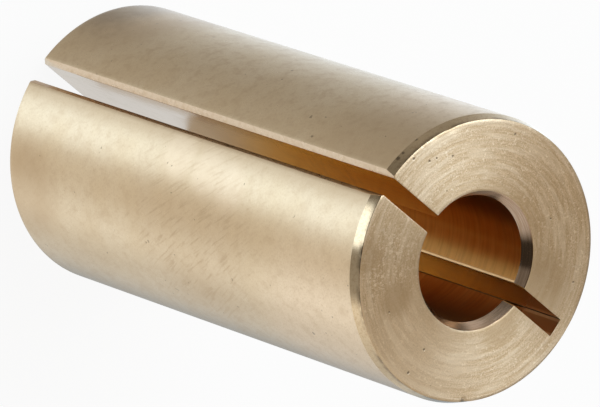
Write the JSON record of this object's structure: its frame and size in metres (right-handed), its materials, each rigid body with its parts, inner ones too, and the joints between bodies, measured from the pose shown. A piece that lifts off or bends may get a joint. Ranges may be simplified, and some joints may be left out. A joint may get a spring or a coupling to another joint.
{
  "type": "split shaft adapter sleeve",
  "caption": "Long bronze sleeve, slit along its length, that fills the gap between a shaft and a larger hub bore and closes on the shaft when clamped.",
  "frame": {"origin": "centre of the sleeve's foot end, on the bore axis, at the surface that it stands on", "axes": "+Z along the bore axis towards the lead-in end, -Y through the slot, +X completes the frame"},
  "size_m": [0.025, 0.0249, 0.052],
  "materials": {
    "bronze": "turned"
  },
  "bodies": {
    "root": {"split_sleeve": "bronze"}
  },
  "joints": []
}
